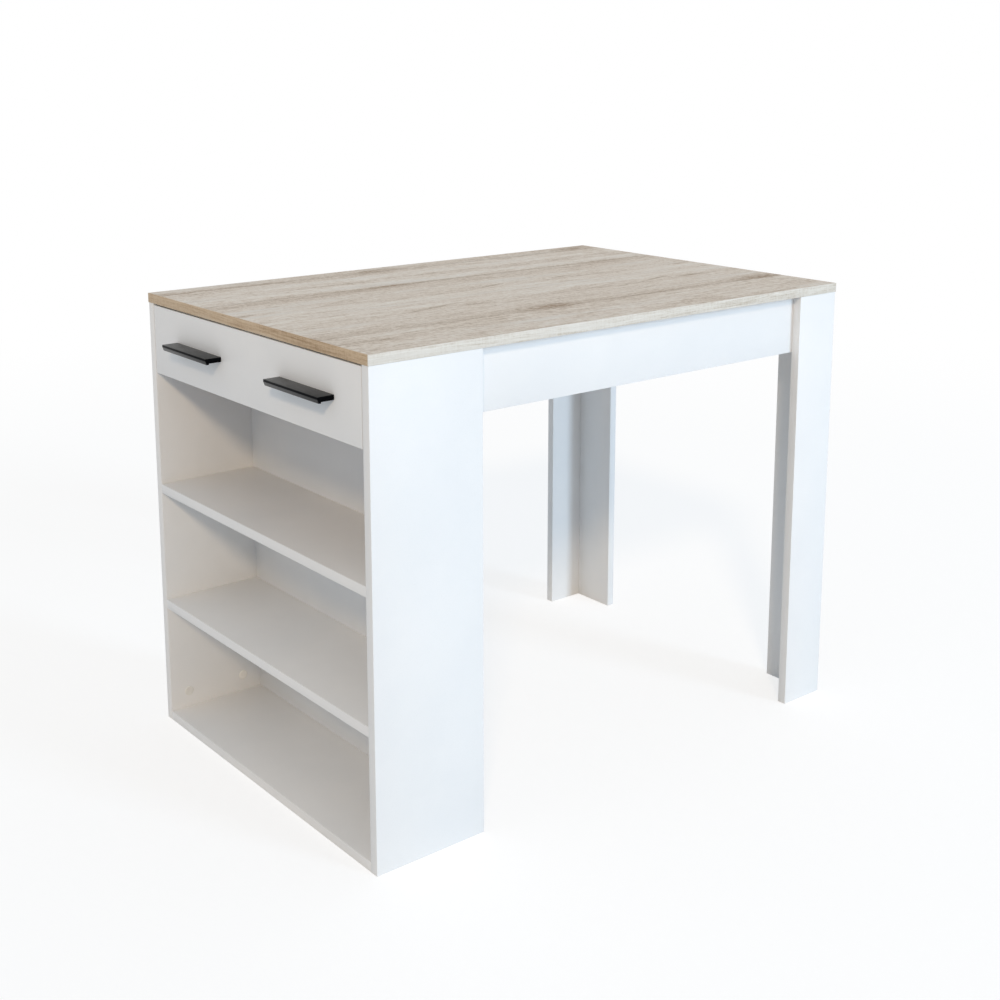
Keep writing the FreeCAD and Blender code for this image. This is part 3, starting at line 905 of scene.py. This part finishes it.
def cover_caps():
    """Low domed caps with a thin rim, pressed into their bores."""
    found = screw_places("side_cover_caps", 1)
    _, _, head_radius, stem_radius, length = found[0]
    head_height = 1.2 * MM
    tip = MM
    dome = ((0, 0.30), (0.06 * MM, 0.62), (0.22 * MM, 0.86), (0.5 * MM, 0.97), (0.8 * MM, 1.0))
    steps = [(height, head_radius * share) for height, share in dome]
    steps += [(head_height, head_radius), (head_height, stem_radius), (length - tip, stem_radius),
              (length, stem_radius * 0.8)]
    part = turned("cap", steps, fine_sides)
    dress(copies("side_cover_caps_moulded", part, places_of(found)), "table", "white_plastic", "plastic",
          "side_cover_caps")


def handle(name):
    """Bar handle: a box shaped to a flat web and a hanging lip with a slanted lower edge."""
    node = "handle_" + name
    low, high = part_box(node)
    web_low = Vector((low.x, low.y, high.z - web_thickness))
    bar = block(node + "_bar", web_low, high)
    lip_x = low.x + lip_depth
    slant_z = low.z + lip_bevel_height

    def at_front(item, height):
        return all(abs(corner.co.z - height) < level_reach and corner.co.x < low.x + level_reach
                   for corner in item.verts)

    open_piece(bar)
    bpy.ops.mesh.select_all(action="SELECT")
    bpy.ops.mesh.bisect(plane_co=(lip_x, 0, 0), plane_no=(1, 0, 0))
    pick(bar, "FACE", lambda face: looks_down(face) and middle(face).x < lip_x)
    bpy.ops.mesh.extrude_region_move(TRANSFORM_OT_translate={"value": (0, 0, low.z - web_low.z)})
    bpy.ops.mesh.select_all(action="SELECT")
    bpy.ops.mesh.bisect(plane_co=(0, 0, slant_z), plane_no=(0, 0, 1))
    seam_shift = lip_bevel * (slant_z - web_low.z) / lip_bevel_height
    for height, shift in ((low.z, lip_bevel), (web_low.z, seam_shift)):
        pick(bar, "EDGE", lambda item: at_front(item, height))
        bpy.ops.transform.translate(value=(shift, 0, 0))
    bpy.ops.mesh.select_all(action="SELECT")
    bpy.ops.mesh.dissolve_limited(angle_limit=flat_angle)
    close_piece()
    rounded(bar, handle_round, handle_round_steps, handle_round_angle)
    dress(bar, "drawer", "black_handle", "black", node)
    # Upright faces take the painted-shade copy of the black, and slanted lower faces the painted floor
    # reflection
    second_finish(bar, "black_painted_shade_upright", lambda face: abs(face.normal.z) < upright_slope)
    second_finish(bar, "black_painted_reflection_slanted", lambda face: face.normal.x < 0 and
                  -slanted_slope < face.normal.z < -upright_slope)


def angle_place(points):
    """Box of a steel angle, the axis along its fold, and the axis and side that its top reaches to."""
    low, high = box_of(points)
    size = high - low
    fold_axis = 0 if abs(size.x - size.z) > MM else 1
    away_axis = 1 - fold_axis
    mean = sum(points, Vector()) / len(points)
    away_sign = -1 if mean[away_axis] > ((low + high) / 2)[away_axis] else 1
    return low, high, fold_axis, away_axis, away_sign


def folded_angle(low, high, fold_axis, away_axis, away_sign):
    """Steel angle: a flat top and a wall drawn down from it, with a round fold and round free corners."""
    sheet = 2.0 * MM
    bend = 1.6 * MM
    corner_round = 4.0 * MM
    far_share = 0.9
    leg = high.z - low.z
    wall = low[away_axis] if away_sign > 0 else high[away_axis]
    fold = wall + away_sign * sheet
    angle = block("angle", Vector((low.x, low.y, high.z - sheet)), high)
    plane_point = Vector()
    plane_point[away_axis] = fold

    def at_fold(item):
        centre = middle(item)
        level = abs(centre.z - (high.z - sheet)) < level_reach
        return (level and abs(centre[away_axis] - fold) < level_reach
                and item.calc_length() > (high - low)[fold_axis] / 2)

    def at_free_corner(item):
        centre = middle(item)
        at_end = abs(centre[away_axis] - wall) > leg * far_share or centre.z < low.z + level_reach
        return at_end and abs(item.calc_length() - sheet) < level_reach

    open_piece(angle)
    bpy.ops.mesh.select_all(action="SELECT")
    bpy.ops.mesh.bisect(plane_co=plane_point, plane_no=unit(away_axis, 1))
    pick(angle, "FACE", lambda face: looks_down(face) and (middle(face)[away_axis] - fold) * away_sign < 0)
    bpy.ops.mesh.extrude_region_move(TRANSFORM_OT_translate={"value": (0, 0, sheet - leg)})
    bpy.ops.mesh.select_all(action="SELECT")
    bpy.ops.mesh.dissolve_limited(angle_limit=flat_angle)
    pick(angle, "EDGE", at_fold)
    bpy.ops.mesh.bevel(offset=bend, segments=5, affect="EDGES")
    pick(angle, "EDGE", at_free_corner)
    bpy.ops.mesh.bevel(offset=corner_round, segments=6, affect="EDGES")
    close_piece()
    return angle


def brackets():
    """The steel angles that hold the top."""
    made = [folded_angle(*angle_place(points)) for points in solids("top_brackets")]
    dress(joined("top_brackets_folded", made), "table", "zinc_plated_steel", "plated", "top_brackets")


def balls():
    """Polished balls in their cages, turned round from end to end."""
    angles = [math.radians(degrees) for degrees in range(ball_band_angle // 2, 180, ball_band_angle)]
    for name in ("left", "right"):
        node = "cage_balls_" + name
        boxes = [box_of(points) for points in solids(node)]
        radius = (boxes[0][1].z - boxes[0][0].z) / 2 * ball_fullness
        steps = [(-radius * math.cos(angle), radius * math.sin(angle)) for angle in angles]
        ball = turned("ball", steps, ball_sides)
        places = [((low + high) / 2, X, 0.0) for low, high in boxes]
        dress(copies(node + "_polished", ball, places), name + "_cage", "steel_ball", "ball_steel", node)


def runners():
    """Runner members and ball cages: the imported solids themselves, in a drawn zinc finish."""
    for part in ("cabinet_rail_", "drawer_rail_", "ball_cage_"):
        for side in ("left", "right"):
            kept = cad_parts[part + side]
            kept.data.materials.clear()
            kept.data.materials.append(finishes["rolled"])


def floor_finish():
    """Matt white floor. To the camera it is white where it is lit, and keeps a soft share of each shadow."""
    finish = Finish("studio_floor")
    tree = finish.tree
    x, y, z = finish.place()
    cloud = finish.grain(x * 0.7, y * 0.7, z)
    matt = finish.blend(cloud, (0.81, 0.81, 0.81), (0.83, 0.83, 0.83))
    plain = finish.node("BsdfDiffuse", {}, {"Color": matt})
    dim = finish.node("BsdfDiffuse", {}, {"Color": (floor_shadow_share,) * 3})
    glow = finish.node("Emission", {}, {"Color": (1.0, 1.0, 1.0), "Strength": floor_glow})
    lit = finish.node("AddShader", {}, {0: dim, 1: glow})
    white = finish.node("Emission", {}, {"Color": (1.0, 1.0, 1.0), "Strength": 1.0})
    far_off = (x * x + y * y).root().step(floor_fade_near, floor_fade_far)
    seen = finish.node("MixShader", {}, {0: far_off, 1: lit, 2: white})
    camera_ray = finish.node("LightPath", {}, {}, "Is Camera Ray")
    glossy_ray = finish.node("LightPath", {}, {}, "Is Glossy Ray")
    whole = finish.node("MixShader", {}, {0: camera_ray + glossy_ray, 1: plain, 2: seen})
    tree.links.new(whole.socket, tree.nodes["Material Output"].inputs["Surface"])
    return finish.material


def studio_floor():
    """Pale floor that keeps the shadows."""
    bpy.ops.object.select_all(action="DESELECT")
    bpy.ops.mesh.primitive_plane_add(size=floor_size)
    floor = bpy.context.object
    floor.name = "studio_floor"
    floor.data.materials.append(floor_finish())


def surround():
    """White to the camera and in reflections, and a pale blue light on everything else."""
    world = bpy.data.worlds.new("studio")
    bpy.context.scene.world = world
    world.use_nodes = True
    tree = world.node_tree
    tree.nodes.clear()
    paths = tree.nodes.new("ShaderNodeLightPath")
    seen = paths.outputs["Is Camera Ray"]
    for ray in ("Is Glossy Ray", "Is Transmission Ray"):
        either = tree.nodes.new("ShaderNodeMath")
        either.operation = "ADD"
        either.use_clamp = True
        tree.links.new(seen, either.inputs[0])
        tree.links.new(paths.outputs[ray], either.inputs[1])
        seen = either.outputs[0]
    both = tree.nodes.new("ShaderNodeMixShader")
    tree.links.new(seen, both.inputs[0])
    for number, (colour, strength) in enumerate(((ambient_colour, ambient_strength), ((1, 1, 1), 1.0))):
        background = tree.nodes.new("ShaderNodeBackground")
        background.inputs["Color"].default_value = (*colour, 1)
        background.inputs["Strength"].default_value = strength
        tree.links.new(background.outputs[0], both.inputs[number + 1])
    out = tree.nodes.new("ShaderNodeOutputWorld")
    tree.links.new(both.outputs[0], out.inputs["Surface"])


def lamp(kind, name, place, size, power, colour):
    """A lamp turned to the table: a sun's size is its angle, and a panel's its width and height."""
    light = bpy.data.lights.new(name, kind)
    if kind == "SUN":
        light.angle = math.radians(size)
    else:
        light.shape = "RECTANGLE"
        light.size, light.size_y = size
    light.energy = power
    light.color = colour
    lamp_object = bpy.data.objects.new(name, light)
    bpy.context.scene.collection.objects.link(lamp_object)
    lamp_object.location = place
    lamp_object.rotation_euler = (table_middle - place).to_track_quat("-Z", "Y").to_euler()


def camera():
    """Camera at the photograph's place, held level, turned by its heading and dipped."""
    eye = Vector((-1.5454, -1.9255, 1.1713))
    heading = math.radians(-39.016)
    dip = math.radians(10.969)
    data = bpy.data.cameras.new("camera")
    data.sensor_width = 36.0
    data.lens = 51.83
    data.shift_y = -0.165
    data.clip_end = 200.0
    view = bpy.data.objects.new("camera", data)
    bpy.context.scene.collection.objects.link(view)
    view.location = eye
    view.rotation_euler = (math.pi / 2 - dip, 0, heading)
    bpy.context.scene.camera = view


camera()
studio_floor()
surround()
lamp("AREA", "tall_panel", place=Vector((4.6, -13.3, 4.2)), size=(3.0, 7.0), power=985.0,
     colour=(0.65, 0.825, 1.0))
lamp("SUN", "warm_front", place=Vector((-4.0, -4.6, 4.4)), size=7.0, power=0.95, colour=(1.0, 0.77, 0.52))

top()
boards()
drawer_bottom()
cam_pieces()
cam_bolts()
screws()
dowels()
cover_caps()
handle("left")
handle("right")
brackets()
balls()
runners()

bpy.context.scene.view_settings.view_transform = "Standard"
